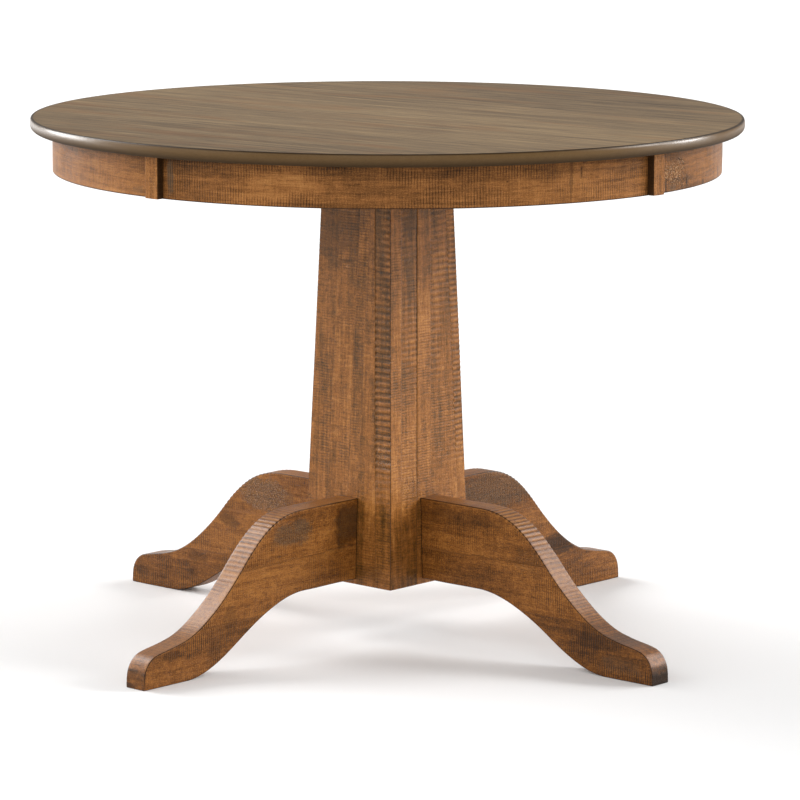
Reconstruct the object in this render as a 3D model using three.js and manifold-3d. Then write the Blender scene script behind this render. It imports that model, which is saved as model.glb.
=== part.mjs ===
// Round pedestal table in solid wood. Millimetres, +Z up.
// The origin is on the floor, under the column's axis; the legs point along X and Y.
import * as THREE from 'three';
import { mergeVertices } from 'three/addons/utils/BufferGeometryUtils.js';
import Module from 'manifold-3d';

const wasm = await Module();
wasm.setup();

// Driving dimensions
const tableHeight = 788;
const topRadius = 534;
const topThickness = 19;
// Edge of the top from its underside up, as [inset from the rim, height above the underside]
const topEdge = [
  [9.5, 0],
  [6.5, 0.4],
  [4.2, 1.4],
  [2.2, 3.2],
  [0.9, 5.4],
  [0.2, 8],
  [0, 11],
  [0.3, 14.2],
  [0.8, 16.4],
  [1.4, 17.8],
  [2.2, 18.7],
  [3, 19],
];
const boardCount = 7;
const topTurn = THREE.MathUtils.degToRad(1.6); // the top sits slightly turned on its base
const fitGap = 0.3;

const apronRadius = 500.5;
const apronThickness = 22;
const apronBottom = 708;
const blockWidth = 24.5;
const blockProud = 10;

const battenWidth = 60;
const battenThickness = 22;
const battenLength = 600;
const battenOffset = 330;
const battenScrewRow = [-200, 0, 200];

const plateSize = 420;
const plateThickness = 28;
const plateCorner = 45;
const plateScrewOffset = 175;
const headScrewOffset = 22;

const columnBottom = 87;
const columnBottomHalf = 89.3;
const columnTopHalf = 68;
const panelThickness = 22;
const headThickness = 30;

const legThickness = 37;
const legTopHeight = 218;
const legUnderside = 95;
const legReach = 535;
// Leg's upper edge, toe to shoulder, and lower edge, column to toe: cubic curve controls [out, up]
const legCrest = [
  [legReach, 30, 525, 44, 509, 48],
  [493, 52, 477, 53, 460, 57.6],
  [420, 65, 375, 100, 330, 150],
  [292, 192, 260, legTopHeight, 205, legTopHeight],
];
const legBelly = [
  [245, legUnderside, 290, 73, 330, 48.5],
  [370, 24, 405, 0, 450, 0],
];
const toeUpright = 12;

const boltRadius = 4.8;
const boltInLeg = 62;
const boltInColumn = 20;
const boltHeights = [128, 186];
const boltClearance = 0.6;
const nutAcrossFlats = 17;
const nutHeight = 9;
const flangeRadius = 12;
const flangeThickness = 2.5;

const screwRadius = 2.4;
const screwHeadRadius = 4.8;
const screwHeadDepth = 3.4;
const screwInTop = 13;
const screwClearance = 0.4;

// Heights that follow from them
const topUnderside = tableHeight - topThickness;
const plateBottom = topUnderside - fitGap - plateThickness;
const columnTop = plateBottom - fitGap;
const columnTaper = (columnBottomHalf - columnTopHalf) / (columnTop - columnBottom);
const taperAngle = Math.atan(columnTaper);

const topFinish = { color: 0x8a775e, roughness: 0.42, metalness: 0 };
const baseFinish = { color: 0x84572f, roughness: 0.6, metalness: 0 };
const hiddenFinish = { color: 0xb08d5f, roughness: 0.8, metalness: 0 };
const steelFinish = { color: 0x9a9a96, roughness: 0.35, metalness: 1 };

const table = new THREE.Group();
const topGroup = new THREE.Group();
topGroup.rotation.z = topTurn;
table.add(topGroup);

function place(parent, name, geometry, finish) {
  const mesh = new THREE.Mesh(geometry, new THREE.MeshStandardMaterial(finish));
  mesh.name = name;
  parent.add(mesh);
  return mesh;
}

// A three.js geometry as a solid that can be cut, and back again
function toSolid(geometry) {
  const bare = geometry.clone();
  bare.deleteAttribute('normal');
  bare.deleteAttribute('uv');
  const merged = mergeVertices(bare, 1e-4);
  const corners = Array.from(merged.index.array);
  const kept = [];
  for (let i = 0; i < corners.length; i += 3) {
    const [a, b, c] = corners.slice(i, i + 3);
    if (a !== b && b !== c && c !== a) {
      kept.push(a, b, c);
    }
  }
  return new wasm.Manifold(new wasm.Mesh({
    numProp: 3,
    vertProperties: new Float32Array(merged.attributes.position.array),
    triVerts: new Uint32Array(kept),
  }));
}

function toGeometry(solid) {
  const mesh = solid.getMesh();
  const geometry = new THREE.BufferGeometry();
  geometry.setAttribute('position', new THREE.BufferAttribute(new Float32Array(mesh.vertProperties), 3));
  geometry.setIndex(new THREE.BufferAttribute(new Uint32Array(mesh.triVerts), 1));
  geometry.computeVertexNormals();
  return geometry;
}

function cutAway(geometry, drills) {
  return toGeometry(drills.reduce((solid, drill) => solid.subtract(toSolid(drill)), toSolid(geometry)));
}

// A solid of revolution about Z from [radius, height] points
function turned(profile, segments) {
  const points = profile.map(([radius, height]) => new THREE.Vector2(radius, height));
  return new THREE.LatheGeometry(points, segments).rotateX(Math.PI / 2);
}

// A round hole's tool, standing on z = from
function drill(radius, from, to) {
  return new THREE.CylinderGeometry(radius, radius, to - from, 16)
    .rotateX(Math.PI / 2)
    .translate(0, 0, (from + to) / 2);
}

// A block whose four sides follow the column's taper, kept `inset` inside its outer faces
function taperedX(z, inset) {
  return columnBottomHalf - (z - columnBottom) * columnTaper - inset;
}

function reshape(geometry, move) {
  const position = geometry.attributes.position;
  const point = new THREE.Vector3();
  for (let i = 0; i < position.count; i += 1) {
    move(point.fromBufferAttribute(position, i));
    position.setXYZ(i, point.x, point.y, point.z);
  }
  geometry.computeVertexNormals();
  return geometry;
}

// Countersunk wood screw pointing up, its head's face on z = 0
function screwGeometry(length) {
  return turned([
    [0, 0],
    [screwHeadRadius, 0],
    [screwRadius, screwHeadDepth],
    [screwRadius, length - 2 * screwRadius],
    [0, length],
  ], 12);
}

function screwDrill(length) {
  const spare = screwClearance;
  return turned([
    [0, -5],
    [screwHeadRadius + spare, -5],
    [screwHeadRadius + spare, 0],
    [screwRadius + spare, screwHeadDepth + spare],
    [screwRadius + spare, length + spare],
    [0, length + spare],
  ], 12);
}

// Top: glued boards cut from one disc with a softly bowed edge
function topBoards(drills) {
  const profile = [
    [0, topUnderside],
    ...topEdge.map(([inset, height]) => [topRadius - inset, topUnderside + height]),
    [0, tableHeight],
  ];
  const disc = toSolid(cutAway(turned(profile, 96), drills));
  const boardWidth = (2 * topRadius) / boardCount;
  for (let i = 0; i < boardCount; i += 1) {
    const strip = new THREE.BoxGeometry(2.2 * topRadius, boardWidth - fitGap, 4 * topThickness)
      .translate(0, (i - (boardCount - 1) / 2) * boardWidth, tableHeight);
    place(topGroup, `top_board_${i + 1}`, toGeometry(disc.intersect(toSolid(strip))), topFinish);
  }
}

// Apron: four curved segments between four upright blocks
function apron() {
  const height = topUnderside - fitGap - apronBottom;
  const innerRadius = apronRadius - apronThickness;
  for (let i = 0; i < 4; i += 1) {
    const start = (i * Math.PI) / 2;
    const outerCut = Math.asin((blockWidth / 2 + fitGap) / apronRadius);
    const innerCut = Math.asin((blockWidth / 2 + fitGap) / innerRadius);
    const outline = new THREE.Shape();
    outline.absarc(0, 0, apronRadius, start + outerCut, start + Math.PI / 2 - outerCut, false);
    outline.absarc(0, 0, innerRadius, start + Math.PI / 2 - innerCut, start + innerCut, true);
    const bent = { depth: height, bevelEnabled: false, curveSegments: 22 };
    const segment = new THREE.ExtrudeGeometry(outline, bent).translate(0, 0, apronBottom);
    place(topGroup, `apron_segment_${i + 1}`, segment, baseFinish);

    const block = place(
      topGroup,
      `apron_block_${i + 1}`,
      new THREE.BoxGeometry(apronThickness + blockProud, blockWidth, height)
        .translate(innerRadius + (apronThickness + blockProud) / 2, 0, apronBottom + height / 2),
      baseFinish,
    );
    block.rotation.z = start;
  }
}

// Battens across the boards, each with its screws
function battens() {
  const bottom = topUnderside - fitGap - battenThickness;
  const drills = [];
  const names = ['batten_left', 'batten_right'];
  names.forEach((name, side) => {
    const x = (2 * side - 1) * battenOffset;
    const bevel = battenThickness * 0.7;
    const half = battenLength / 2;
    const outline = new THREE.Shape([
      new THREE.Vector2(-half + bevel, 0),
      new THREE.Vector2(half - bevel, 0),
      new THREE.Vector2(half, bevel),
      new THREE.Vector2(half, battenThickness),
      new THREE.Vector2(-half, battenThickness),
      new THREE.Vector2(-half, bevel),
    ]);
    const bar = new THREE.ExtrudeGeometry(outline, { depth: battenWidth, bevelEnabled: false })
      .translate(0, 0, -battenWidth / 2)
      .rotateX(Math.PI / 2)
      .rotateZ(Math.PI / 2)
      .translate(x, 0, bottom);
    const length = battenThickness + screwInTop;
    const own = battenScrewRow.map((y) => screwDrill(length).translate(x, y, bottom + fitGap));
    place(topGroup, name, cutAway(bar, own), hiddenFinish);
    battenScrewRow.forEach((y, i) => {
      const screwName = `${name.replace('batten', 'batten_screw')}_${i + 1}`;
      const screw = place(topGroup, screwName, screwGeometry(length), steelFinish);
      screw.position.set(x, y, bottom + fitGap);
    });
    drills.push(...own);
  });
  return drills;
}

// Plate: joins the top to the column; screwed up into the boards and down into the column head
function pedestalPlate() {
  const half = plateSize / 2;
  const inner = half - plateCorner;
  const outline = new THREE.Shape([
    new THREE.Vector2(half, -inner),
    new THREE.Vector2(half, inner),
    new THREE.Vector2(inner, half),
    new THREE.Vector2(-inner, half),
    new THREE.Vector2(-half, inner),
    new THREE.Vector2(-half, -inner),
    new THREE.Vector2(-inner, -half),
    new THREE.Vector2(inner, -half),
  ]);
  const plate = new THREE.ExtrudeGeometry(outline, { depth: plateThickness, bevelEnabled: false })
    .translate(0, 0, plateBottom);
  const upLength = plateThickness + screwInTop;
  const downLength = plateThickness + headThickness * 0.75;
  const upDrills = [];
  const downDrills = [];
  for (let i = 0; i < 4; i += 1) {
    const corner = Math.PI / 4 + (i * Math.PI) / 2;
    const far = plateScrewOffset * Math.SQRT2;
    const near = headScrewOffset * Math.SQRT2;
    const screwUp = place(topGroup, `plate_screw_${i + 1}`, screwGeometry(upLength), steelFinish);
    screwUp.position.set(far * Math.cos(corner), far * Math.sin(corner), plateBottom + fitGap);
    upDrills.push(screwDrill(upLength)
      .translate(screwUp.position.x, screwUp.position.y, screwUp.position.z));

    const upsideDown = screwGeometry(downLength).rotateX(Math.PI);
    const screwDown = place(topGroup, `head_screw_${i + 1}`, upsideDown, steelFinish);
    const faceHeight = plateBottom + plateThickness - fitGap;
    screwDown.position.set(near * Math.cos(corner), near * Math.sin(corner), faceHeight);
    downDrills.push(screwDrill(downLength).rotateX(Math.PI)
      .translate(screwDown.position.x, screwDown.position.y, screwDown.position.z));
  }
  place(topGroup, 'pedestal_plate', cutAway(plate, [...upDrills, ...downDrills]), hiddenFinish);
  return { upDrills, downDrills };
}

// Column: four mitred, tapered panels round a head block
const sides = [
  { name: 'right', turn: 0 },
  { name: 'back', turn: Math.PI / 2 },
  { name: 'left', turn: Math.PI },
  { name: 'front', turn: -Math.PI / 2 },
];

// Moves a tool or a bolt from its own axis (along +Z) to run square through the right-hand face
function squareToFace(geometry, z) {
  return geometry
    .rotateY(Math.PI / 2 - taperAngle)
    .translate(taperedX(z, 0), 0, z);
}

function column(headDrills) {
  const panelHeight = columnTop - columnBottom;
  sides.forEach(({ name, turn }) => {
    const slab = reshape(new THREE.BoxGeometry(1, 1, panelHeight), (point) => {
      point.z += columnBottom + panelHeight / 2;
      const face = taperedX(point.z, point.x > 0 ? 0 : panelThickness);
      point.x = face;
      point.y = Math.sign(point.y) * (face - fitGap / Math.SQRT2);
    });
    const holes = boltHeights.map((z) => squareToFace(
      drill(boltRadius + boltClearance, -2 * panelThickness, panelThickness),
      z,
    ));
    place(table, `column_panel_${name}`, cutAway(slab, holes), baseFinish).rotation.z = turn;
  });

  const head = reshape(new THREE.BoxGeometry(1, 1, headThickness), (point) => {
    point.z += columnTop - headThickness / 2;
    const half = taperedX(point.z, panelThickness + 2 * fitGap);
    point.x = Math.sign(point.x) * half;
    point.y = Math.sign(point.y) * half;
  });
  const turnedDrills = headDrills.map((tool) => tool.clone().rotateZ(topTurn));
  place(table, 'column_head', cutAway(head, turnedDrills), hiddenFinish);
}

// Leg outline in its own plane: X outwards from the column, Y up
function legOutline() {
  const outline = new THREE.Shape();
  outline.moveTo(taperedX(legUnderside, -fitGap), legUnderside);
  outline.lineTo(200, legUnderside);
  legBelly.forEach((curve) => outline.bezierCurveTo(...curve));
  outline.lineTo(legReach, 0);
  outline.lineTo(legReach, toeUpright);
  legCrest.forEach((curve) => outline.bezierCurveTo(...curve));
  outline.lineTo(taperedX(legTopHeight, -fitGap), legTopHeight);
  return outline;
}

function flangeNut() {
  const hexRadius = nutAcrossFlats / Math.sqrt(3);
  const hex = toSolid(new THREE.CylinderGeometry(hexRadius, hexRadius, nutHeight, 6)
    .rotateX(Math.PI / 2).translate(0, 0, nutHeight / 2));
  const flange = toSolid(drill(flangeRadius, 0, flangeThickness));
  return toGeometry(hex.add(flange).subtract(toSolid(drill(boltRadius + fitGap, -1, nutHeight + 1))));
}

// Legs, each held by two hanger bolts with flange nuts inside the hollow column
function legs() {
  sides.forEach(({ name, turn }) => {
    const side = new THREE.Group();
    side.rotation.z = turn;
    table.add(side);
    const sawn = { depth: legThickness, bevelEnabled: false, curveSegments: 9 };
    const slab = new THREE.ExtrudeGeometry(legOutline(), sawn)
      .rotateX(Math.PI / 2)
      .translate(0, legThickness / 2, 0);
    const holes = boltHeights.map((z) => squareToFace(
      drill(boltRadius + fitGap, -panelThickness, boltInLeg + fitGap),
      z,
    ));
    place(side, `leg_${name}`, cutAway(slab, holes), baseFinish);
    boltHeights.forEach((z, i) => {
      const level = ['lower', 'upper'][i];
      const shank = turned([
        [0, -panelThickness - boltInColumn],
        [boltRadius, -panelThickness - boltInColumn],
        [boltRadius, boltInLeg - 2 * boltRadius],
        [0, boltInLeg],
      ], 12);
      place(side, `leg_bolt_${name}_${level}`, squareToFace(shank, z), steelFinish);
      const nut = flangeNut().rotateX(Math.PI).translate(0, 0, -panelThickness - fitGap);
      place(side, `leg_nut_${name}_${level}`, squareToFace(nut, z), steelFinish);
    });
  });
}

const battenDrills = battens();
const { upDrills, downDrills } = pedestalPlate();
topBoards([...battenDrills, ...upDrills]);
apron();
column(downDrills);
legs();

export default table;
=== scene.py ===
# Round pedestal table: rough-sawn brown base, smooth grey-brown top.
import bpy
import bmesh
import math
import numpy as np
from mathutils import Matrix, Vector


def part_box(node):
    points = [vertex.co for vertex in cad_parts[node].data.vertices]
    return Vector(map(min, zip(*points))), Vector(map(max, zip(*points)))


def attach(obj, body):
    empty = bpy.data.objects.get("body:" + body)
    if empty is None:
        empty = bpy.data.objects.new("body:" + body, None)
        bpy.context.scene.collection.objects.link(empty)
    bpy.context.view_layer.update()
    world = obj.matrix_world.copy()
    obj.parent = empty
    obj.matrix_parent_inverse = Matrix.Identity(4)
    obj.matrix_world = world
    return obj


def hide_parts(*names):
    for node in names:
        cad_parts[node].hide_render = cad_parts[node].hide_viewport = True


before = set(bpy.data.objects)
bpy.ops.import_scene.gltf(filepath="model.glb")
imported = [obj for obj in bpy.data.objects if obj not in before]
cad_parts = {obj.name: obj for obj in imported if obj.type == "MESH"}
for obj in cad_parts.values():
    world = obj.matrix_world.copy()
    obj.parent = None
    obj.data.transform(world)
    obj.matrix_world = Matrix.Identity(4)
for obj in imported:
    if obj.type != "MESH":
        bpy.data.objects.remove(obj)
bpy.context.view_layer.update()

print("frame loaded:", len(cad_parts), "nodes")

view = {
    "place": (4.332, -4.751, 1.451),
    "heading": 42.184,   # degrees, turned left from looking along +Y
    "tilt": 9.674,       # degrees below level
    "roll": 0.138,
    "lens": 193.95,      # mm, on a film 36 mm wide
    "film": 36,
    "farClip": 200,
}


def addCamera():
    heading, tilt, roll = (math.radians(view[k]) for k in ("heading", "tilt", "roll"))
    forward = Vector((
        -math.sin(heading) * math.cos(tilt),
        math.cos(heading) * math.cos(tilt),
        -math.sin(tilt),
    ))
    level = Vector((math.cos(heading), math.sin(heading), 0))
    upright = level.cross(forward)
    right = level * math.cos(roll) + upright * math.sin(roll)
    up = upright * math.cos(roll) - level * math.sin(roll)
    camera = bpy.data.objects.new("camera", bpy.data.cameras.new("camera"))
    camera.data.lens = view["lens"]
    camera.data.sensor_width = view["film"]
    camera.data.clip_end = view["farClip"]
    turn = Matrix((right, up, -forward)).transposed()
    camera.matrix_world = Matrix.Translation(view["place"]) @ turn.to_4x4()
    bpy.context.collection.objects.link(camera)
    bpy.context.scene.camera = camera


addCamera()
bpy.context.scene.view_settings.view_transform = "Standard"
print("camera ready")


class Wire:
    # One output socket; arithmetic on it adds Math nodes.
    def __init__(self, finish, socket):
        self.finish = finish
        self.socket = socket

    def maths(self, operation, *values):
        return self.finish.add("ShaderNodeMath", {"operation": operation}, dict(enumerate(values)))

    def __add__(self, other):
        return self.maths("ADD", self, other)

    def __radd__(self, other):
        return self.maths("ADD", other, self)

    def __sub__(self, other):
        return self.maths("SUBTRACT", self, other)

    def __rsub__(self, other):
        return self.maths("SUBTRACT", other, self)

    def __mul__(self, other):
        return self.maths("MULTIPLY", self, other)

    def __rmul__(self, other):
        return self.maths("MULTIPLY", other, self)

    def __pow__(self, other):
        return self.maths("POWER", self, other)


class Finish:
    # A material under construction.
    def __init__(self, name, **constants):
        self.material = bpy.data.materials.new(name)
        self.material.use_nodes = True
        self.tree = self.material.node_tree
        self.shader = self.tree.nodes["Principled BSDF"]
        for key, value in constants.items():
            self.shader.inputs[key.replace("_", " ")].default_value = value

    def add(self, kind, settings=None, inputs=None, output=0):
        node = self.tree.nodes.new(kind)
        for key, value in (settings or {}).items():
            if key == "stops":
                ramp = node.color_ramp
                while len(ramp.elements) < len(value):
                    ramp.elements.new(1)
                for element, (place, colour) in zip(ramp.elements, value):
                    element.position = place
                    element.color = (*colour, 1)
            else:
                setattr(node, key, value)
        for key, value in (inputs or {}).items():
            self.join(node.inputs[key], value)
        return Wire(self, node.outputs[output])

    def join(self, socket, value):
        if isinstance(value, Wire):
            self.tree.links.new(value.socket, socket)
        elif socket.type == "RGBA":
            socket.default_value = (*value, 1)
        else:
            socket.default_value = value

    def attribute(self, name, output="Fac"):
        return self.add("ShaderNodeAttribute", {"attribute_name": name}, output=output)

    def stretched(self, vector, scales):
        return self.add("ShaderNodeVectorMath", {"operation": "MULTIPLY"}, {0: vector, 1: scales})

    def noise(self, vector, scales, detail=3.0, rough=0.5, twist=0.0):
        return self.add("ShaderNodeTexNoise", {}, {
            "Vector": self.stretched(vector, scales), "Scale": 1.0, "Detail": detail,
            "Roughness": rough, "Distortion": twist,
        })

    def sine(self, value):
        return self.add("ShaderNodeMath", {"operation": "SINE"}, {0: value})

    def between(self, value, low, high, first=0.0, last=1.0):
        return self.add("ShaderNodeMapRange", {"interpolation_type": "SMOOTHSTEP"}, {
            "Value": value, "From Min": low, "From Max": high, "To Min": first, "To Max": last,
        })

    def mix(self, share, first, second, blend="MIX"):
        return self.add("ShaderNodeMix", {"data_type": "RGBA", "blend_type": blend}, {
            0: share, 6: first, 7: second,
        }, output=2)

    def ramp(self, value, stops):
        return self.add("ShaderNodeValToRGB", {"stops": stops}, {"Fac": value})

    def glancing(self, low=0.6, high=0.95):
        # 0 face on, 1 where the surface turns away from the eye
        return self.between(self.add("ShaderNodeLayerWeight", {}, {"Blend": 0.5}, output=1), low, high)

    def bump(self, height, depth, strength):
        return self.add("ShaderNodeBump", {}, {"Height": height, "Distance": depth, "Strength": strength})

    def close(self, **wires):
        for key, wire in wires.items():
            self.join(self.shader.inputs[key.replace("_", " ")], wire)
        return self.material


def shade(hexCode):
    # sRGB hex to linear
    parts = [int(hexCode[i:i + 2], 16) / 255 for i in (0, 2, 4)]
    return tuple(p / 12.92 if p <= 0.04045 else ((p + 0.055) / 1.055) ** 2.4 for p in parts)


roughSawn = {
    "column": {
        "dark": "34220a", "deep": "654219", "mid": "935c28", "light": "c08444",
        "mottle": 0.7, "dashes": 0.5, "fine": 1.0, "sheen": 0.3, "gloss": 0.2,
    },
    "leg": {
        "dark": "261505", "deep": "563411", "mid": "7f4d1f", "light": "a87034",
        "mottle": 0.55, "dashes": 0.4, "fine": 1.4, "sheen": 0.1, "gloss": 0.15,
    },
    "apron": {
        "dark": "2e1c0c", "deep": "65401d", "mid": "915e30", "light": "b98249",
        "mottle": 0.5, "dashes": 0.3, "fine": 1.0, "sheen": 0.05, "gloss": 0.1,
    },
    "glaze": "1a1008",    # dark glaze left along edges and joints
    "grey": "544839",
    "paintedGlintColour": "d0a67a",     # painted highlight: pale glints in pitted patches
    "sawPitch": 0.0042,
    "sawDark": 0.4,
    "roughness": 0.4,
    "coatRoughness": 0.36,
    "bumpDepth": 0.0007,
}


def roughSawnFinish(name, palette):
    f = Finish(name, Specular_IOR_Level=palette["gloss"], Coat_Roughness=roughSawn["coatRoughness"])
    mottle, dashes, fine = palette["mottle"], palette["dashes"], palette["fine"]
    wood = f.attribute("wood", "Vector")
    tone, groove, edge, grime, stain, pit, saw, polish = (
        f.attribute(part) for part in ("tone", "groove", "edge", "grime", "stain", "pit", "saw", "polish"))

    cloud = f.noise(wood, (5, 15, 15), 4, 0.55, 0.4)
    streak = f.noise(wood, (8, 170, 170), 5, 0.62, 0.25)
    fibre = f.noise(wood, (60, 1300, 1300), 3, 0.6)
    dash = f.noise(wood, (430, 120, 120), 3, 0.6)
    speck = f.noise(wood, (620, 900, 900), 2, 0.6)
    curl = f.noise(wood, (80, 14, 14), 3, 0.55, 0.8)
    blotch = f.noise(wood, (26, 60, 60), 4, 0.6, 1.2)
    value = 0.5 + (cloud - 0.5) * mottle + (streak - 0.5) * 0.7 + (fibre - 0.5) * (0.55 * fine) + tone * 0.3
    value = value + (dash - 0.5) * dashes + (speck - 0.5) * (0.75 * fine)
    value = value + ((curl - 0.5) * 0.5 + (blotch - 0.5) * 0.6) * mottle

    # saw lines across the board, broken up and stronger in patches
    along = f.add("ShaderNodeSeparateXYZ", {}, {0: wood})
    sway = f.noise(wood, (9, 9, 9), 2, 0.5)
    wave = f.sine((along + sway * 0.006) * (2 * math.pi / roughSawn["sawPitch"]))
    broken = f.noise(wood, (260, 60, 60), 3, 0.6)
    patchy = f.between(f.noise(wood, (11, 24, 24), 2, 0.5), 0.42, 0.62)
    line = f.between(wave * 0.5 + 0.5 + (broken - 0.5) * 0.9, 0.62, 1.0) * saw * patchy
    value = value - line * roughSawn["sawDark"]

    colour = f.ramp(value, [
        (0.0, shade(palette["dark"])),
        (0.3, shade(palette["deep"])),
        (0.55, shade(palette["mid"])),
        (0.9, shade(palette["light"])),
    ])
    pores = f.between(f.noise(wood, (90, 900, 900), 2, 0.5), 0.62, 0.74)
    colour = f.mix(pores * 0.55, colour, shade(palette["dark"]))
    # Dark in real cracks and seams, and painted shade in saw-rib and ripple troughs and on the uprights' side
    # faces
    colour = f.mix(groove * 0.8, colour, shade(palette["dark"]))
    colour = f.mix(grime * (0.55 + (blotch - 0.5) * 1.5), colour, shade(roughSawn["grey"]))
    colour = f.mix(stain * (0.75 + (streak - 0.5) * 1.5), colour, shade(palette["dark"]))
    grit = f.noise(wood, (430, 520, 520), 2, 0.6)
    # Pitted patches: real dark dents, and pale flecks painted as glints (painted highlight)
    dent = f.between(grit, 0.48, 0.62) * pit
    colour = f.mix(dent * 0.7, colour, shade(palette["dark"]))
    paintedGlint = f.between(f.noise(wood, (520, 600, 600), 2, 0.6), 0.55, 0.63) * pit
    colour = f.mix(paintedGlint * pit * 0.8, colour, shade(roughSawn["paintedGlintColour"]))
    worn = f.between(edge + (streak - 0.5) * 0.3, 0.22, 0.55)
    colour = f.mix(worn * 0.85, colour, shade(roughSawn["glaze"]))

    rough = roughSawn["roughness"] + (fibre - 0.5) * 0.25 + (blotch - 0.5) * 0.3 + groove * 0.1 - pit * 0.1
    coat = f.glancing() * palette["sheen"] + f.glancing(0.2, 0.45) * polish
    height = fibre * 0.3 + streak * 0.5 + speck * 0.5 + dash * 0.4 - line * 0.9 - pores * 0.5 - dent * 1.6
    return f.close(Base_Color=colour, Roughness=rough, Coat_Weight=coat,
                   Normal=f.bump(height, roughSawn["bumpDepth"], 0.9))


smoothTop = {
    # dark, mid and light are greyed past the stain's brown: partly the stain's colour, partly a painted
    # reflection of the pale sheen on the flat top
    "dark": "3f301d",
    "mid": "6e5a40",
    "light": "947c59",
    "warm": "77512c",
    "rim": "604829",
    # painted shade on the lower half of the rounded edge
    "under": "221404",
    "line": "1d120a",
    "gloss": 0.12,
    "coatRoughness": 0.26,
    "roughness": 0.46,
    "bumpDepth": 0.00012,
}


def smoothTopFinish():
    f = Finish("satin_top", Specular_IOR_Level=smoothTop["gloss"],
               Coat_Roughness=smoothTop["coatRoughness"])
    wood = f.attribute("wood", "Vector")
    tone, rim, under, crease, dull = (
        f.attribute(part) for part in ("tone", "rim", "under", "crease", "dull"))
    cloud = f.noise(wood, (1.8, 16, 16), 3, 0.5, 0.3)
    streak = f.noise(wood, (3.2, 110, 110), 5, 0.65, 0.3)
    fibre = f.noise(wood, (14, 700, 700), 3, 0.6)
    value = 0.5 + (cloud - 0.5) * 0.35 + (streak - 0.5) * 1.0 + (fibre - 0.5) * 1.4 + tone * 0.1
    colour = f.ramp(value, [
        (0.15, shade(smoothTop["dark"])),
        (0.5, shade(smoothTop["mid"])),
        (0.9, shade(smoothTop["light"])),
    ])
    warm = f.between(f.noise(wood, (3.4, 15, 15), 4, 0.6, 0.5), 0.5, 0.68)
    colour = f.mix(warm * 0.4, colour, shade(smoothTop["warm"]))
    dark = f.between(f.noise(wood, (6, 330, 330), 3, 0.6), 0.56, 0.7)
    colour = f.mix(dark * 0.6, colour, shade(smoothTop["dark"]))
    colour = f.mix(rim * 0.9, colour, shade(smoothTop["rim"]))
    # Painted shade: the lower half of the rounded edge is painted darker
    colour = f.mix(under * 0.75, colour, shade(smoothTop["under"]))
    colour = f.mix(crease * 0.9, colour, shade(smoothTop["line"]))
    rough = smoothTop["roughness"] + (fibre - 0.5) * 0.16 - rim * 0.1 + under * 0.3
    # the clear coat shows on the rounded edge only
    coat = rim * (1 - under) ** 2 * (1 - crease) * (0.1 + f.glancing(0.2, 0.45) * 0.9) * (1 - dull)
    return f.close(Base_Color=colour, Roughness=rough, Coat_Weight=coat,
                   Normal=f.bump(fibre * 0.5 + streak * 0.5, smoothTop["bumpDepth"], 0.6))


hiddenWood = {"dark": "7a5634", "light": "b58a58", "gloss": 0.4, "roughness": 0.6}


def hiddenWoodFinish():
    f = Finish("planed_wood", Specular_IOR_Level=hiddenWood["gloss"])
    place = f.add("ShaderNodeTexCoord", output="Object")
    cloud = f.noise(place, (14, 4, 14), 3, 0.5)
    streak = f.noise(place, (160, 7, 160), 5, 0.6, 0.2)
    fibre = f.noise(place, (1300, 60, 1300), 2, 0.5)
    value = 0.5 + (cloud - 0.5) * 0.7 + (streak - 0.5) * 0.9 + (fibre - 0.5) * 0.4
    colour = f.ramp(value, [(0.2, shade(hiddenWood["dark"])), (0.8, shade(hiddenWood["light"]))])
    rough = hiddenWood["roughness"] + (fibre - 0.5) * 0.3
    return f.close(Base_Color=colour, Roughness=rough, Normal=f.bump(streak, 0.0003, 0.6))


zincSteel = {"light": "b9b8b0", "dull": "7d7c76", "roughness": 0.28}


def zincSteelFinish():
    f = Finish("zinc_steel", Metallic=1.0)
    place = f.add("ShaderNodeTexCoord", output="Object")
    cloud = f.noise(place, (300, 300, 300), 3, 0.6)
    grit = f.noise(place, (2500, 2500, 2500), 2, 0.5)
    colour = f.ramp(cloud, [(0.3, shade(zincSteel["dull"])), (0.7, shade(zincSteel["light"]))])
    rough = zincSteel["roughness"] + cloud * 0.25
    return f.close(Base_Color=colour, Roughness=rough, Normal=f.bump(grit, 0.00005, 0.5))


columnWood = roughSawnFinish("rough_sawn_column", roughSawn["column"])
legWood = roughSawnFinish("rough_sawn_leg", roughSawn["leg"])
apronWood = roughSawnFinish("rough_sawn_apron", roughSawn["apron"])
satinTop = smoothTopFinish()
planedWood = hiddenWoodFinish()
zinc = zincSteelFinish()
print("finishes ready")


def lattice(u, v, seed):
    # Smooth value noise, from -1 to 1, one cell a unit.
    iu, iv = np.floor(u), np.floor(v)
    fu, fv = u - iu, v - iv
    fu = fu * fu * (3 - 2 * fu)
    fv = fv * fv * (3 - 2 * fv)

    def corner(a, b):
        wild = np.sin(a * 127.1 + b * 311.7 + seed * 74.7) * 43758.5453
        return wild - np.floor(wild)

    low = corner(iu, iv) * (1 - fu) + corner(iu + 1, iv) * fu
    high = corner(iu, iv + 1) * (1 - fu) + corner(iu + 1, iv + 1) * fu
    return 2 * (low * (1 - fv) + high * fv) - 1


def rising(values, start, over):
    # 0 up to the start, then even growth to 1
    return np.clip((values - start) / over, 0, 1)


def falling(values, stop, over):
    # Even fall from 1 to 0 at the stop
    return np.clip((stop - values) / over, 0, 1)


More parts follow.
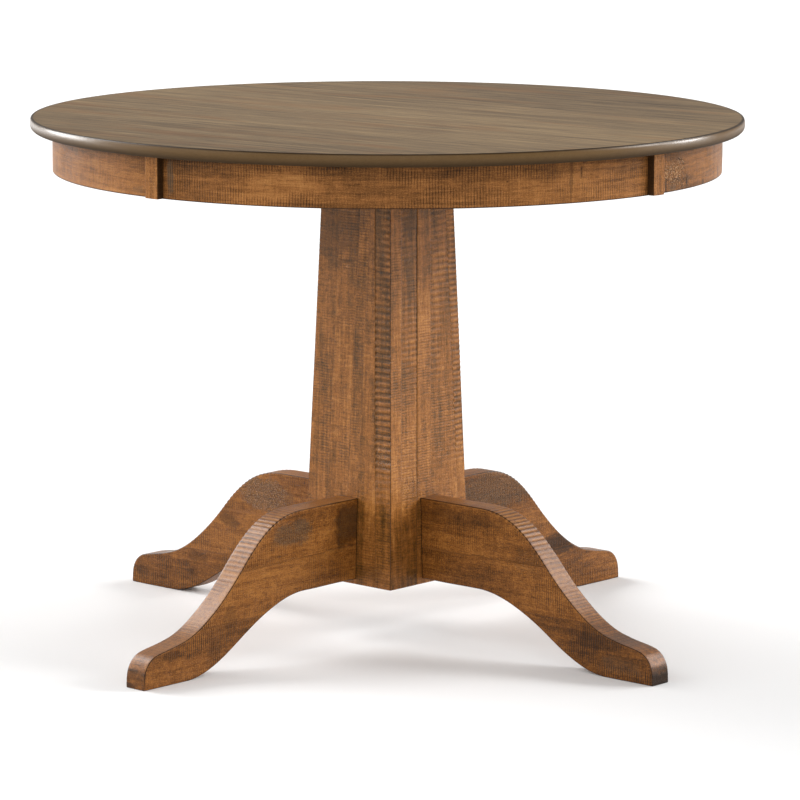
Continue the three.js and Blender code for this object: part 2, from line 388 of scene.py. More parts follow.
def section(wide, high, arc):
    # Points round an eased rectangle, as [a, b, ca, cb]: a, b on the square, ca, cb on the easing.
    points = []
    sides = [
        (high, lambda t: (1, t)),
        (wide, lambda t: (-t, 1)),
        (high, lambda t: (-1, -t)),
        (wide, lambda t: (t, -1)),
    ]
    for quarter, (steps, at) in enumerate(sides):
        facing = quarter * math.pi / 2
        for k in range(steps + 1):
            points.append((*at(2 * k / steps - 1), math.cos(facing), math.sin(facing)))
        for k in range(1, arc):
            turn = (quarter + k / arc) * math.pi / 2
            points.append((*at(1), math.cos(turn), math.sin(turn)))
    return np.array(points)


def ringNormals(points):
    ahead = np.roll(points, -1, axis=1) - np.roll(points, 1, axis=1)
    along = np.gradient(points, axis=0)
    normals = np.cross(ahead, along)
    length = np.linalg.norm(normals, axis=2, keepdims=True)
    return normals / np.maximum(length, 1e-12)


def dress(name, mesh, values, finish, sharpAngle):
    # Gives a mesh its per-point attributes, sharp edges and finish, and makes the piece.
    for key, value in values.items():
        if value.size == 3 * len(mesh.vertices):
            mesh.attributes.new(key, "FLOAT_VECTOR", "POINT").data.foreach_set("vector", value.reshape(-1))
        else:
            mesh.attributes.new(key, "FLOAT", "POINT").data.foreach_set("value", value.reshape(-1))
    mesh.set_sharp_from_angle(angle=math.radians(sharpAngle))
    mesh.materials.append(finish)
    piece = bpy.data.objects.new(name, mesh)
    bpy.context.collection.objects.link(piece)
    return piece


def skin(name, points, values, finish):
    # A closed piece from rings of points; values are its per-point attributes.
    rows, count = points.shape[:2]
    index = np.arange(rows * count).reshape(rows, count)
    beside = np.roll(index, -1, axis=1)
    quads = np.stack([index[:-1], beside[:-1], beside[1:], index[1:]], axis=-1).reshape(-1, 4).tolist()
    quads.append(index[0][::-1].tolist())
    quads.append(index[-1].tolist())
    mesh = bpy.data.meshes.new(name)
    mesh.from_pydata(points.reshape(-1, 3).tolist(), [], quads)
    mesh.polygons.foreach_set("use_smooth", [True] * len(mesh.polygons))
    mesh.polygons[-1].use_smooth = False
    mesh.polygons[-2].use_smooth = False
    return dress(name, mesh, values, finish, sharpAngle=50)


def settle(piece, slot, *nodes):
    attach(piece, "root")
    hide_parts(*nodes)


def ended(stations, ease, steps):
    # Adds eased ends to a run of stations: (place along the run, tuck) pairs.
    first, last = stations[0], stations[-1]
    turn = [math.pi / 2 * k / steps for k in range(steps, 0, -1)]
    low = [(first + ease - ease * math.sin(t), ease * (1 - math.cos(t))) for t in turn]
    high = [(last - ease + ease * math.sin(t), ease * (1 - math.cos(t))) for t in reversed(turn)]
    middle = [(s, 0.0) for s in np.linspace(first + ease, last - ease, len(stations))]
    return np.array(low + middle + high)


def marked(across, along, marks, seed):
    # Patches of age and damage on a surface, the pitted ones also carrying painted glints: kind, place across
    # and along, half sizes, strength.
    # The edges are ragged, except on nail holes and cracks, which have straight ones.
    values = {kind: np.zeros(np.broadcast(across, along).shape) for kind in ("grime", "stain", "pit")}
    for number, (kind, a, b, halfA, halfB, strength) in enumerate(marks):
        ragged = 0.25 * lattice(across * 70, along * 90, seed + number)
        ragged = ragged + 0.2 * lattice(across * 260, along * 260, seed + number + 5)
        span = (np.abs((across - a) / halfA) ** 3 + np.abs((along - b) / halfB) ** 3) ** (1 / 3)
        if min(halfA, halfB) < 0.002:
            span = np.maximum(np.abs(across - a) / halfA, np.abs(along - b) / halfB)
            ragged = 0
        inside = np.clip((1.1 + ragged - span) * 4, 0, 1)
        values[kind] = np.maximum(values[kind], strength * inside)
    return values


def atAngle(points, degrees):
    turn = math.radians(degrees)
    c, s = math.cos(turn), math.sin(turn)
    x, y, z = points[..., 0], points[..., 1], points[..., 2]
    return np.stack([x * c - y * s, x * s + y * c, z], axis=-1)


legSet = {
    "thickness": 0.037,
    "ease": 0.0013,           # radius of the softened edges
    "rows": 250,              # rings of points along the leg
    "across": 12,             # steps across the thickness
    "down": 50,               # steps down each side
    "arc": 4,                 # steps round each edge
    "rippleDepth": 0.0006,
    "ripplePitch": 0.0085,
    "rippled": (0.12, 0.34),  # where the ripples start and fade out, along the upper edge
    "polish": 0.7,
    "wander": 0.00035,
    "toeTop": 0.008,          # height where the toe's rounded top meets its flat end
    # Edges as curve control points: distance out from the axis, height
    "crest": [(0.205, 0.218), (0.260, 0.218), (0.292, 0.192), (0.330, 0.150), (0.375, 0.100), (0.420, 0.065),
              (0.460, 0.0576), (0.477, 0.053), (0.493, 0.052), (0.509, 0.048), (0.525, 0.044), (0.535, 0.030),
              (0.535, 0.012)],
    "belly": [(0.200, 0.095), (0.245, 0.095), (0.290, 0.073), (0.330, 0.0485), (0.370, 0.024), (0.405, 0.0),
              (0.450, 0.0)],
    # Each leg is three boards, low to high; marks are given as distance out and height
    "right": {"tones": (-0.4, 0.0, 0.1), "marks": [
        ("stain", 0.165, 0.200, 0.085, 0.008, 0.45), ("pit", 0.300, 0.150, 0.030, 0.020, 0.35),
        ("stain", 0.440, 0.050, 0.050, 0.010, 0.45), ("grime", 0.480, 0.020, 0.040, 0.012, 0.30),
        ("stain", 0.395, 0.058, 0.030, 0.005, 0.50)]},
    "front": {"tones": (0.05, 0.35, 0.25), "marks": [
        ("stain", 0.106, 0.182, 0.028, 0.030, 0.65), ("grime", 0.106, 0.184, 0.026, 0.028, 0.50),
        ("grime", 0.228, 0.186, 0.038, 0.018, 0.75), ("pit", 0.228, 0.186, 0.038, 0.018, 0.50),
        ("stain", 0.482, 0.043, 0.018, 0.006, 0.55), ("stain", 0.360, 0.075, 0.014, 0.020, 0.35),
        ("stain", 0.390, 0.040, 0.012, 0.014, 0.35)]},
    "left": {"tones": (-0.05, 0.45, 0.45), "marks": [
        ("pit", 0.245, 0.182, 0.050, 0.024, 0.80), ("grime", 0.235, 0.180, 0.050, 0.022, 0.45),
        ("stain", 0.400, 0.035, 0.005, 0.005, 1.0), ("stain", 0.400, 0.035, 0.012, 0.010, 0.40),
        ("stain", 0.320, 0.130, 0.022, 0.010, 0.55),
        ("stain", 0.385, 0.062, 0.020, 0.008, 0.45), ("stain", 0.515, 0.022, 0.014, 0.008, 0.50)]},
    "back": {"tones": (0.05, 0.0, -0.25), "marks": [
        ("grime", 0.230, 0.185, 0.090, 0.030, 0.60), ("pit", 0.230, 0.185, 0.090, 0.030, 0.45),
        ("stain", 0.385, 0.078, 0.036, 0.018, 0.90)]},
}

sideTurns = {"right": 0, "back": 90, "left": 180, "front": -90}


def curved(controls, count):
    # Points along joined cubic curves, four control points each, the ends shared
    t = np.linspace(0, 1, count)[:, None]
    pieces = []
    for i in range(0, len(controls) - 1, 3):
        a, b, c, d = (np.array(p) for p in controls[i:i + 4])
        pieces.append(a * (1 - t) ** 3 + 3 * b * t * (1 - t) ** 2 + 3 * c * t * t * (1 - t) + d * t ** 3)
    return np.concatenate([pieces[0]] + [p[1:] for p in pieces[1:]])


def spaced(points, count):
    # The same line with points an even distance apart
    run = np.concatenate([[0], np.cumsum(np.linalg.norm(np.diff(points, axis=0), axis=1))])
    at = np.linspace(0, run[-1], count)
    return np.stack([np.interp(at, run, points[:, k]) for k in range(2)], axis=-1)


def buildLeg(side, seed):
    boards = legSet[side]
    low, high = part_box("leg_right")
    crest, belly = legSet["crest"], legSet["belly"]
    lean = columnHalf(belly[0][1]) - columnHalf(crest[0][1])
    upper = np.concatenate([[(low.x, crest[0][1])], curved(crest, 60), [(high.x, legSet["toeTop"])]])
    lower = np.concatenate([[(low.x + lean, belly[0][1])], curved(belly, 60), [(high.x, 0.0)]])
    top = spaced(upper, legSet["rows"])
    bottom = spaced(lower, legSet["rows"])
    shape = section(legSet["across"], legSet["down"], legSet["arc"])
    centre = (top + bottom) / 2
    rise = top - bottom
    height = np.linalg.norm(rise, axis=1)[:, None]
    rise = rise / height
    half = legSet["thickness"] / 2
    ease = np.minimum(legSet["ease"], height * 0.3)
    w = (shape[:, 0] * (half - ease) + shape[:, 2] * ease)[:, ::-1]
    h = (shape[:, 1] * (height / 2 - ease) + shape[:, 3] * ease)[:, ::-1]
    points = np.stack([centre[:, 0:1] + rise[:, 0:1] * h, w, centre[:, 1:2] + rise[:, 1:2] * h], axis=-1)
    out, up = points[..., 0], points[..., 2]
    fromEdge = np.maximum(half - np.abs(w), height / 2 - np.abs(h))
    onTop = (h > height / 2 - 0.002) * 1.0

    # cutter ripples on the upper edge, where it runs down the slope
    run = np.concatenate([[0], np.cumsum(np.linalg.norm(np.diff(top, axis=0), axis=1))])[:, None]
    chatter = np.sin(2 * math.pi * run / legSet["ripplePitch"] + 1.6 * lattice(run * 30, w * 20, seed))
    start, stop = legSet["rippled"]
    steep = rising(run, start, 0.03) * np.clip((stop - run) / 0.12, 0.15, 1)
    ripple = chatter * onTop * steep * (0.65 + 0.35 * lattice(run * 45, w * 40, seed + 3))
    wander = lattice(out * 22, up * 22 + w * 9, seed + 1) * legSet["wander"]
    push = wander + ripple * legSet["rippleDepth"]
    points = points + ringNormals(points) * push[..., None]
    points[..., 0] = np.minimum(points[..., 0], high.x)
    points[..., 2] = np.maximum(points[..., 2], 0.0)

    third = crest[0][1] / 3
    board = np.clip(np.floor((up + 0.002 * np.sin(out * 9 + seed)) / third), 0, 2).astype(int)
    tone = np.array(boards["tones"])[board] + 0.15 * lattice(out * 9, up * 14, seed + 6)
    endGrain = rising(out - high.x, -0.004, 0.002)
    joint = np.exp(-np.maximum(out - columnHalf(up), 0) / 0.0012)
    values = {
        "wood": np.stack([out + seed * 1.37 + board * 0.83, up + seed * 0.71, w + seed * 0.53], axis=-1),
        # Painted light: the upper edge is painted lighter and the cutter ripples are painted as light and
        # dark bands; the darker end grain is real
        "tone": tone + onTop * (0.4 - endGrain * 0.5) + ripple * 0.9 - endGrain * 0.35,
        "groove": np.clip(-ripple, 0, 1) * 0.55,
        "polish": onTop * (0.25 + 0.75 * rising(run, start, 0.04)) * legSet["polish"] * (1 - endGrain),
        "edge": np.maximum(np.exp(-fromEdge / 0.0011), joint),
        "saw": 0.45 + 0.55 * rising(out, 0.3, 0.1) - 0.35 * onTop,
        **marked(out, up, boards["marks"], seed + 30),
    }
    return skin("scroll_leg_" + side, atAngle(points, sideTurns[side]), values, legWood)


columnSet = {
    "rows": 380,          # rings of points up the column
    "ease": 0.0009,
    "sag": 0.0003,        # how far each face lies inside its solid
    "thickness": 0.022,
    "inner": 8,           # points across the hollow side
    "ribbedFrom": 0.25,   # height where the deep saw ribs start, clear of the legs
    "fullRib": 0.0006,    # a rib this deep gets its full darkness
    "crackDepth": 0.0005,
    "crackWidth": 0.0006,
    "jointGap": 0.0001,   # between neighbouring panels
    # Painted shade, darker going up under the top and darker at the foot between the legs: from where, over
    # what length, by how much
    "lift": 0.15,
    "darkUp": (0.25, 0.45, 0.5),
    "darkFoot": (0.22, 0.03, 0.25),
    "darkHead": (0.6, 0.08, 0.25),
    # Glued strips across each face: width, tone, saw rib depth, rib pitch, level.
    # "near" are counted from the reference corner, "far" from the other, and "middle" tapers between them.
    # Seams are listed with how dark each shows; marks are distance from the reference corner and height.
    "right": {
        "corner": -1, "seed": 3, "seams": (0.25, 0.75, 0.1, 0.3),
        "near": [(0.0245, 0.30, 0.00006, 0.0080, 0.0), (0.0345, 0.0, 0.00028, 0.0086, -0.0003),
                 (0.0305, 0.32, 0.00005, 0.0085, 0.0001)],
        "middle": (0.10, 0.00030, 0.0096, 0.0),
        "far": [(0.0190, 0.10, 0.00060, 0.0082, 0.0001)],
        "marks": [("stain", 0.040, 0.640, 0.015, 0.028, 0.40), ("stain", 0.058, 0.585, 0.0016, 0.050, 0.80),
                  ("grime", 0.152, 0.497, 0.010, 0.003, 0.80), ("stain", 0.157, 0.437, 0.008, 0.004, 0.80),
                  ("stain", 0.158, 0.405, 0.008, 0.004, 0.60), ("stain", 0.059, 0.470, 0.0013, 0.040, 0.60),
                  ("pit", 0.045, 0.235, 0.020, 0.020, 0.40)]},
    "front": {
        "corner": 1, "seed": 5, "seams": (0.35, 0.05, 0.08, 0.04),
        "near": [(0.0310, -0.40, 0.00075, 0.0101, -0.0004)],
        "middle": (0.0, 0.00015, 0.0078, 0.0),
        "far": [(0.0210, 0.05, 0.00008, 0.0070, 0.0), (0.0400, 0.0, 0.00022, 0.0075, 0.0),
                (0.0410, 0.0, 0.00018, 0.0080, 0.0)],
        "marks": [("stain", 0.110, 0.630, 0.050, 0.055, 0.40), ("stain", 0.088, 0.573, 0.016, 0.002, 0.75),
                  ("pit", 0.090, 0.566, 0.006, 0.002, 0.90), ("stain", 0.058, 0.380, 0.0012, 0.075, 0.60),
                  ("pit", 0.016, 0.283, 0.012, 0.020, 0.60), ("stain", 0.070, 0.440, 0.006, 0.030, 0.30),
                  ("stain", 0.040, 0.110, 0.030, 0.012, 0.35)]},
    "back": {
        "corner": 1, "seed": 8, "seams": (0.3, 0.5, 0.2, 0.15),
        "near": [(0.0300, 0.10, 0.00010, 0.0083, 0.0), (0.0310, -0.15, 0.00030, 0.0090, -0.0002)],
        "middle": (0.15, 0.00010, 0.0081, 0.0001),
        "far": [(0.0300, 0.0, 0.00025, 0.0085, 0.0), (0.0310, 0.12, 0.00010, 0.0079, 0.0001)],
        "marks": [("stain", 0.075, 0.500, 0.002, 0.060, 0.5), ("pit", 0.120, 0.300, 0.020, 0.030, 0.4)]},
    "left": {
        "corner": -1, "seed": 11, "seams": (0.2, 0.35, 0.1, 0.5),
        "near": [(0.0290, 0.15, 0.00020, 0.0085, 0.0001), (0.0310, -0.10, 0.00012, 0.0080, 0.0)],
        "middle": (0.10, 0.00035, 0.0092, -0.0001),
        "far": [(0.0330, 0.20, 0.00010, 0.0078, 0.0001), (0.0240, -0.2, 0.00050, 0.0098, -0.0003)],
        "marks": [("stain", 0.060, 0.350, 0.010, 0.020, 0.5), ("grime", 0.110, 0.600, 0.030, 0.020, 0.4)]},
}


def columnHalf(height):
    # Half width of the column at a height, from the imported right-hand panel
    low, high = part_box("column_panel_right")
    corners = [v.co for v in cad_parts["column_panel_right"].data.vertices]
    topHalf = max(c.x for c in corners if c.z > high.z - 1e-5)
    return high.x + (topHalf - high.x) * (height - low.z) / (high.z - low.z)


def seamSteps(seams, start):
    # Distances from a corner: even steps between seams, with three close together at each seam
    beside = columnSet["crackWidth"]
    steps = [start]
    for seam in seams:
        steps.extend(np.linspace(steps[-1], seam - beside, 14)[1:].tolist())
        steps.extend([seam, seam + beside])
    return np.array(steps)


def buildPanel(side):
    low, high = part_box("column_panel_" + side)
    face = columnSet[side]
    seed = face["seed"]
    z = np.linspace(low.z, high.z, columnSet["rows"])
    half = columnHalf(z)[:, None]
    ease = columnSet["ease"]
    nearSeams = np.cumsum([strip[0] for strip in face["near"]])
    farSeams = np.cumsum([strip[0] for strip in face["far"]][::-1])[::-1]
    fromNear = seamSteps(nearSeams, ease)
    fromFar = seamSteps(farSeams[::-1], ease)[::-1]
    gap = 2 * half - fromNear[-1] - fromFar[0]
    between = np.linspace(0, 1, 12)[None, 1:-1]
    reach = np.concatenate([
        fromNear[None, :] + 0 * half,
        fromNear[-1] + gap * between,
        2 * half - fromFar[None, :],
    ], axis=1)
    seams = np.concatenate([nearSeams[None, :] + 0 * half, 2 * half - farSeams[None, :]], axis=1)
    strip = (reach[:, :, None] > seams[:, None, :] + 1e-6).sum(axis=-1)
    table = np.array([s[1:] for s in face["near"]] + [face["middle"]] + [s[1:] for s in face["far"]])
    tone, depth, pitch, level = (table[strip, k] for k in range(4))
    gaps = np.abs(reach[:, :, None] - seams[:, None, :])
    shown = np.array(face["seams"])[None, None, :]
    crack = np.max(np.exp(-(gaps / columnSet["crackWidth"]) ** 2) * shown, axis=-1)
    rise = z[:, None] + 0 * reach
    sway = 0.0016 * lattice(rise * 14, reach * 25, seed)
    sway = sway + 0.0030 * reach * 9 * lattice(rise * 2, 0 * reach, seed + 2)
    rib = np.sin(2 * math.pi * (rise + sway) / pitch + strip * 1.9)
    rib = np.sign(rib) * np.abs(rib) ** 0.8
    strength = np.clip(0.6 + 0.55 * lattice(rise * 9, reach * 40 + strip * 7, seed + 4), 0.1, 1.2)
    aboveLegs = rising(rise, columnSet["ribbedFrom"], 0.02)
    strength = strength * (0.3 + 0.7 * aboveLegs)
    cut = depth * strength * rib
    wander = 0.0003 * lattice(rise * 9, reach * 30, seed + 5)
    sawn = 0.00008 * lattice(rise * 300, reach * 60, seed + 9)
    outward = cut + level * (rise > columnSet["ribbedFrom"]) + wander + sawn - columnSet["crackDepth"] * crack
    y = face["corner"] * (half - reach)
    outer = np.stack([half + outward - columnSet["sag"], y, rise], axis=-1)
    ribbed = np.clip(depth / columnSet["fullRib"], 0, 1) * strength
    # Painted light and shade on the saw ribs: troughs darker, crests lighter; real seam cracks are darkened
    # too
    groove = np.clip(-rib, 0, 1) * ribbed * 0.8 + crack
    tone = tone * (0.35 + 0.65 * aboveLegs) + np.clip(rib, 0, 1) * ribbed * 0.5
    tone = tone + 0.12 * lattice(rise * 6, reach * 12, seed + 12) + columnSet["lift"]
    # Painted shade: darker up under the top, at the head, and at the foot between the legs
    for change, part in ((rising, "darkUp"), (falling, "darkFoot"), (rising, "darkHead")):
        start, over, drop = columnSet[part]
        tone = tone - drop * change(rise, start, over)
    marks = marked(reach, rise, face["marks"], seed + 50)
    surface = {"tone": tone, "groove": groove, **marks}
    if face["corner"] == 1:
        outer = outer[:, ::-1]
        surface = {key: value[:, ::-1] for key, value in surface.items()}

    # mitred edges and the hollow side, just clear of the neighbouring panels
    joint = columnSet["jointGap"]
    thick = columnSet["thickness"]
    inner = half - thick

    def spot(x, yy):
        return np.stack([x + 0 * half, yy + 0 * half, z[:, None] + 0 * half], axis=-1)

    mitre = [half - ease * 0.35 - columnSet["sag"], half - ease, half - thick / 2]
    ring = [outer] + [spot(x, x - joint) for x in mitre]
    ring += [spot(inner, k * (inner - joint)) for k in np.linspace(1, -1, columnSet["inner"])]
    ring += [spot(x, joint - x) for x in reversed(mitre)]
    points = np.concatenate(ring, axis=1)
    extra = points.shape[1] - outer.shape[1]

    def padded(values, filler=0.0):
        return np.concatenate([values, np.full((len(z), extra), filler)], axis=1)

    yAll, xAll = points[..., 1], points[..., 0]
    fromCorner = np.maximum(half - np.abs(yAll), 0)
    board = padded(strip[:, ::-1] if face["corner"] == 1 else strip)
    values = {
        "wood": np.stack([points[..., 2] + 0.37 * np.sin(board * 5.1) + seed * 1.31,
                          yAll + seed * 0.77 + board * 0.211, xAll], axis=-1),
        "edge": np.exp(-fromCorner / 0.0010) * (xAll > inner + thick * 0.4),
        "saw": np.full(points.shape[:2], 0.4),
        **{key: padded(value) for key, value in surface.items()},
    }
    return skin("column_" + side, atAngle(points, sideTurns[side]), values, columnWood)


for side in sideTurns:
    settle(buildPanel(side), "base_wood", "column_panel_" + side)
print("column ready")

for number, side in enumerate(sideTurns):
    settle(buildLeg(side, number + 1), "base_wood", "leg_" + side)
print("legs ready")

apronSet = {
    "stations": 480,    # rings of points round each segment
    "high": 22,
    "wide": 5,
    "arc": 3,
    "ease": 0.0008,
    "ribDepth": 0.00012,
    "ribPitch": 0.0043,
    "blockEase": 0.0012,
    "blockRows": 50,
    "shade": 0.6,       # painted shadow of the rim: darkening of the upper part of the apron
    "blockShadow": 0.9,      # painted shadow beside the upright blocks
    # Marks as degrees round from +X, height above the lower edge, half sizes
    "marks": [
        ("pit", 7.8, 0.028, 0.027, 0.018, 1.0), ("pit", 11.0, 0.010, 0.020, 0.012, 0.5),
        ("grime", 7.0, 0.006, 0.010, 0.006, 0.80), ("stain", 5.0, 0.009, 0.0019, 0.012, 1.0),
        ("stain", 11.9, 0.011, 0.0026, 0.012, 1.0), ("stain", 18.8, 0.003, 0.0045, 0.005, 1.0),
        ("stain", 28.7, 0.010, 0.0035, 0.010, 1.0), ("stain", 10.2, 0.006, 0.0016, 0.006, 1.0),
        ("stain", -16.7, 0.030, 0.0024, 0.034, 0.50), ("stain", -14.7, 0.043, 0.0014, 0.008, 0.85),
        ("stain", -28.1, 0.036, 0.0018, 0.0018, 0.90), ("stain", -113.6, 0.050, 0.0030, 0.0034, 1.0),
        ("grime", -112.0, 0.048, 0.010, 0.006, 0.60), ("grime", -85.3, 0.034, 0.006, 0.024, 0.95),
        ("grime", -92.6, 0.010, 0.009, 0.006, 0.50), ("stain", 118.0, 0.020, 0.012, 0.008, 0.50),
        ("pit", 160.0, 0.030, 0.040, 0.018, 0.60), ("stain", 205.0, 0.040, 0.0014, 0.020, 0.60),
    ],
}


def nodeTurn(node):
    # How far a node's block has been turned about the table's axis
    low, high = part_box(node)
    middle = (low + high) / 2
    return math.degrees(math.atan2(middle.y, middle.x))


topTurn = nodeTurn("apron_block_1")


def buildApron(index):
    name = f"apron_segment_{index + 1}"
    low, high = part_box(name)
    corners = [v.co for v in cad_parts[name].data.vertices]
    radii = [math.hypot(c.x, c.y) for c in corners]
    outerR, innerR = max(radii), min(radii)
    turns = [(math.degrees(math.atan2(c.y, c.x)) - topTurn - 90 * index) % 360 for c in corners]
    turns = [t for t in turns if t < 180]
    start, stop = math.radians(min(turns)), math.radians(max(turns))
    run = ended(np.linspace(start * outerR, stop * outerR, apronSet["stations"]), apronSet["ease"], 3)
    arc, tuck = run[:, 0:1], run[:, 1:2]
    shape = section(apronSet["wide"], apronSet["high"], apronSet["arc"])
    ease = apronSet["ease"]
    wide, tall = outerR - innerR, high.z - low.z
    w = shape[:, 0] * (wide / 2 - ease) + shape[:, 2] * (ease - tuck)
    h = shape[:, 1] * (tall / 2 - ease) + shape[:, 3] * (ease - tuck)
    arcs = arc + 0 * w
    seed = 20 + index
    outside = np.clip(w / (wide / 2) * 20 - 19, 0, 1)
    rib = np.sin(2 * math.pi * (arcs + 0.0012 * lattice(arcs * 18, h * 20, seed)) / apronSet["ribPitch"])
    patch = np.clip(0.5 + 0.9 * lattice(arcs * 14, h * 22, seed + 1), 0, 1)
    push = outside * (apronSet["ribDepth"] * rib * patch + 0.00022 * lattice(arcs * 16, h * 28, seed + 2))
    radius = (outerR + innerR) / 2 + w + push
    angle = arcs / outerR
    points = np.stack([radius * np.cos(angle), radius * np.sin(angle), (low.z + high.z) / 2 + h], axis=-1)
    fromEdge = np.maximum(wide / 2 - np.abs(w), tall / 2 - np.abs(h))
    # Painted shadow: the apron darkens next to each upright block
    blockShadow = apronSet["blockShadow"] * np.exp(-np.minimum(arcs - start * outerR, stop * outerR - arcs) / 0.0022)
    marks = []
    for kind, degrees, place, halfRound, halfHigh, strength in apronSet["marks"]:
        at = math.radians((degrees - topTurn - 90 * index) % 360) * outerR
        marks.append((kind, at, place - tall / 2, halfRound, halfHigh, strength))
    # Painted shadow of the rim on the upper part of the apron
    shaded = apronSet["shade"] * np.clip(h / tall * 2.6 - 0.3, 0, 1)
    values = {
        "wood": np.stack([arcs + seed * 1.9, h + seed * 0.6, w], axis=-1),
        "tone": 0.25 * lattice(arcs * 5, 0 * h, seed + 3) - shaded,
        # Painted shade in the rib troughs, and the painted shadow beside the blocks
        "groove": np.clip(-rib * patch, 0, 1) * outside * 0.25 + blockShadow,
        "edge": np.exp(-fromEdge / 0.0011) * (h < 0),
        "saw": 0.6 * outside,
        **marked(arcs, h, marks, seed),
    }
    for kind in ("grime", "stain", "pit"):
        values[kind] = values[kind] * outside
    piece = skin(f"apron_{index + 1}", atAngle(points, topTurn + 90 * index), values, apronWood)
    settle(piece, "base_wood", name)


def buildBlock(index):
    low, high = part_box("apron_block_1")
    corners = np.array([v.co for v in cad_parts["apron_block_1"].data.vertices])
    corners = atAngle(corners, -topTurn)
    nearX, farX = corners[:, 0].min(), corners[:, 0].max()
    ease = apronSet["blockEase"]
    run = ended(np.linspace(low.z, high.z, apronSet["blockRows"]), ease, 3)
    shape = section(16, 12, 3)
    wide, tall = farX - nearX, np.ptp(corners[:, 1])
    w = shape[:, 0] * (wide / 2 - ease) + shape[:, 2] * (ease - run[:, 1:2])
    h = shape[:, 1] * (tall / 2 - ease) + shape[:, 3] * (ease - run[:, 1:2])
    z = run[:, 0:1] + 0 * w
    seed = 40 + index
    points = np.stack([(nearX + farX) / 2 + w, h, z], axis=-1)
    points += ringNormals(points) * (0.0002 * lattice(z * 60, (w + h) * 50, seed))[..., None]
    fromEdge = np.maximum(wide / 2 - np.abs(w), tall / 2 - np.abs(h))
    # Painted shade: the block's side faces are painted dark
    shadedFlank = (np.abs(h) > tall / 2 - ease * 0.5) * 1.0
    values = {
        "wood": np.stack([z + seed, w + seed * 0.4, h], axis=-1),
        "tone": 0.15 - shadedFlank,
        "groove": shadedFlank,
        "edge": np.exp(-fromEdge / 0.0008) * 0.7,
        "saw": np.full(z.shape, 0.2),
    }
    piece = skin(f"upright_{index + 1}", atAngle(points, topTurn + 90 * index), values, apronWood)
    settle(piece, "base_wood", f"apron_block_{index + 1}")


for index in range(4):
    buildApron(index)
    buildBlock(index)
print("apron ready")

topSet = {
    "round": 360,
    "edgeRings": 34,
    # Edge from the underside up: inset from the rim, height above the underside
    "edge": [
        (0.0095, 0), (0.0065, 0.0004), (0.0042, 0.0014), (0.0022, 0.0032), (0.0009, 0.0054), (0.0002, 0.008),
        (0.0, 0.011), (0.0003, 0.0142), (0.0008, 0.0164), (0.0014, 0.0178), (0.0022, 0.0187), (0.0030, 0.019),
    ],
    # Rings on the flat of the top and underside, counted in from the edge
    "rings": [0.0006, 0.0014, 0.003, 0.008, 0.03],
    "creaseDepth": 0.0004,
    "seamGap": 0.0001,
    "tones": (-0.7, -0.1, 0.5, 0.9, 0.3, -0.3, -0.9),
    "grainTurn": 2.2,       # degrees between the grain and the seams
    # Where the rim's clear coat is rubbed dull, in degrees round from +X: place, over how many
    "dull": 0.95,
    "dullFrom": (10, 6),
    "dullTo": (110, 30),
}


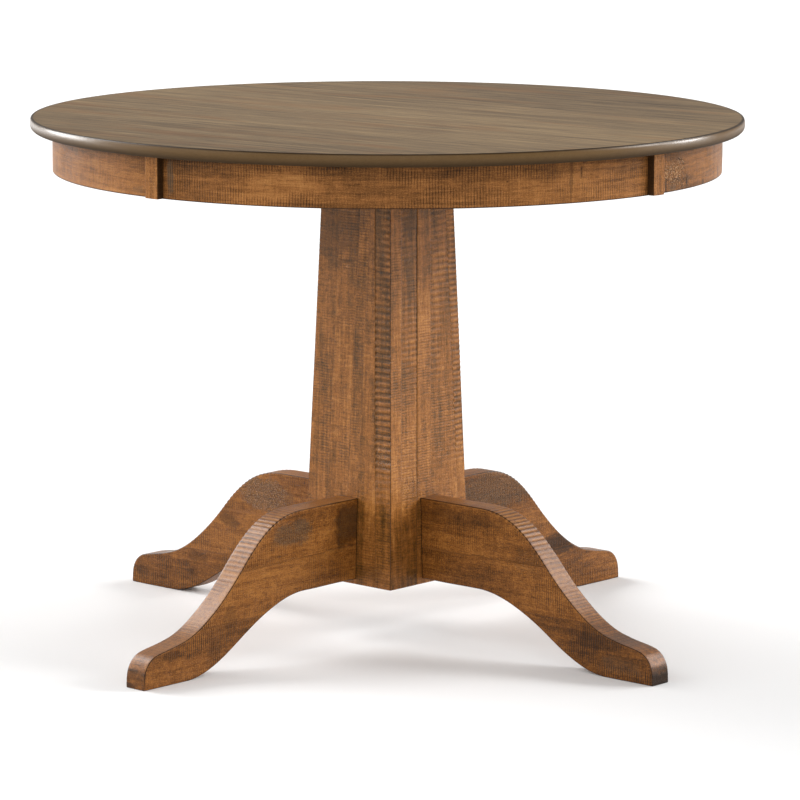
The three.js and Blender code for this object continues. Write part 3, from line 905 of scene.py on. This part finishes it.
def buildTop():
    boards = sorted(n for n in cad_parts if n.startswith("top_board_"))
    low = Vector(map(min, *(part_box(n)[0] for n in boards)))
    high = Vector(map(max, *(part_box(n)[1] for n in boards)))
    radius = (high.x - low.x) / 2
    edge = np.array(topSet["edge"])
    fine = np.linspace(0, len(edge) - 1, topSet["edgeRings"])
    edge = np.stack([np.interp(fine, np.arange(len(edge)), edge[:, k]) for k in range(2)], axis=-1)
    edge[1:-1] = (edge[:-2] + edge[1:-1] * 2 + edge[2:]) / 4
    # rings from the underside, out round the rim, and in over the crease to the flat of the top
    profile = [(radius - edge[0][0] - inset, low.z) for inset in reversed(topSet["rings"])]
    profile += [(radius - inset, low.z + height) for inset, height in edge]
    crown = radius - edge[-1][0]
    for number, inset in enumerate(topSet["rings"]):
        profile.append((crown - inset, high.z - (topSet["creaseDepth"] if number == 0 else 0)))
    steps = topSet["round"]
    turns = [2 * math.pi * k / steps for k in range(steps)]
    built = bmesh.new()
    loops = []
    for r, z in profile:
        loops.append([built.verts.new((r * math.cos(t), r * math.sin(t), z)) for t in turns])
    for a, b in zip(loops, loops[1:]):
        for k in range(steps):
            built.faces.new((a[k], a[(k + 1) % steps], b[(k + 1) % steps], b[k]))
    built.faces.new(list(reversed(loops[0])))
    built.faces.new(loops[-1])
    width = 2 * radius / len(boards)
    for i, node in enumerate(boards):
        board = built.copy()
        for seam, side in ((i, -1), (i + 1, 1)):
            if 0 < seam < len(boards):
                place = -radius + seam * width - side * topSet["seamGap"] / 2
                cut = bmesh.ops.bisect_plane(
                    board, geom=board.verts[:] + board.edges[:] + board.faces[:], dist=1e-6,
                    plane_co=(0, place, 0), plane_no=(0, side, 0), clear_outer=True)
                outline = [e for e in cut["geom_cut"] if isinstance(e, bmesh.types.BMEdge)]
                bmesh.ops.contextual_create(board, geom=outline)
        spin = Matrix.Rotation(math.radians(topTurn), 3, "Z")
        bmesh.ops.rotate(board, verts=board.verts, cent=(0, 0, 0), matrix=spin)
        mesh = bpy.data.meshes.new(node)
        board.to_mesh(mesh)
        board.free()
        co = np.empty(len(mesh.vertices) * 3)
        mesh.vertices.foreach_get("co", co)
        co = co.reshape(-1, 3)
        plain = atAngle(co, -topTurn - topSet["grainTurn"])
        far = np.hypot(co[:, 0], co[:, 1])
        shift = np.array([i * 2.3 + 1.1, i * 0.9, i * 0.4])
        turned = np.degrees(np.arctan2(co[:, 1], co[:, 0]))
        level = (co[:, 2] - low.z) / (high.z - low.z)
        onRim = np.clip((far - crown) / 0.001 + 0.2, 0, 1) + (level < 0.5)
        values = {
            "wood": plain + shift,
            "tone": np.full(len(co), topSet["tones"][i]),
            "rim": np.clip(onRim, 0, 1),
            # painted shade, strongest at the bottom of the rounded edge
            "under": falling(level, 0.66, 0.5),
            "dull": topSet["dull"] * rising(turned, *topSet["dullFrom"]) * falling(turned, *topSet["dullTo"]),
            "crease": np.clip(1.3 - (np.maximum(crown - far, 0) + high.z - co[:, 2]) / 0.0019, 0, 1),
        }
        mesh.polygons.foreach_set("use_smooth", [True] * len(mesh.polygons))
        piece = dress("board_" + node[-1], mesh, values, satinTop, sharpAngle=30)
        settle(piece, "top_wood", node)
    built.free()


buildTop()
print("top ready")

for name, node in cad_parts.items():
    if name in ("pedestal_plate", "column_head", "batten_left", "batten_right"):
        node.material_slots[0].material = planedWood
    elif name.startswith(("plate_screw", "head_screw", "batten_screw", "leg_bolt", "leg_nut")):
        node.material_slots[0].material = zinc
print("hidden parts ready")

studio = {
    "floor": (0.9, 0.9, 0.9),
    "floorReach": 150,
    "world": 0.42,
    "sunReach": 5,
    # azimuth from +X, elevation, apparent size in degrees, strength
    "suns": {
        "key": (42, 22, 18, 1.45),
        "rimRight": (70, 34, 24, 0.85),
        "rimLeft": (-175, 34, 34, 2.0),
        "lowRight": (64, 9, 12, 0.75),
        "lowLeft": (-172, 6, 26, 1.5),
        "left": (-120, 25, 50, 0.9),
        "front": (-52, 32, 50, 0.6),
    },
}


def addStudio():
    mesh = bpy.data.meshes.new("floor")
    far = studio["floorReach"]
    mesh.from_pydata([(-far, -far, 0), (far, -far, 0), (far, far, 0), (-far, far, 0)], [], [(0, 1, 2, 3)])
    floor = bpy.data.objects.new("floor", mesh)
    f = Finish("floor", Roughness=0.9, Specular_IOR_Level=0.1)
    f.shader.inputs["Base Color"].default_value = (*studio["floor"], 1)
    mesh.materials.append(f.material)
    bpy.context.collection.objects.link(floor)
    world = bpy.data.worlds.new("studio")
    world.use_nodes = True
    world.node_tree.nodes["Background"].inputs["Color"].default_value = (1, 1, 1, 1)
    world.node_tree.nodes["Background"].inputs["Strength"].default_value = studio["world"]
    bpy.context.scene.world = world
    for name, (azimuth, elevation, across, strength) in studio["suns"].items():
        lamp = bpy.data.lights.new(name, "SUN")
        lamp.angle = math.radians(across)
        lamp.energy = strength
        a, e = math.radians(azimuth), math.radians(elevation)
        away = Vector((math.cos(a) * math.cos(e), math.sin(a) * math.cos(e), math.sin(e)))
        holder = bpy.data.objects.new(name, lamp)
        holder.location = away * studio["sunReach"]
        holder.rotation_mode = "QUATERNION"
        holder.rotation_quaternion = (-away).to_track_quat("-Z", "Y")
        bpy.context.collection.objects.link(holder)


addStudio()
print("studio ready")
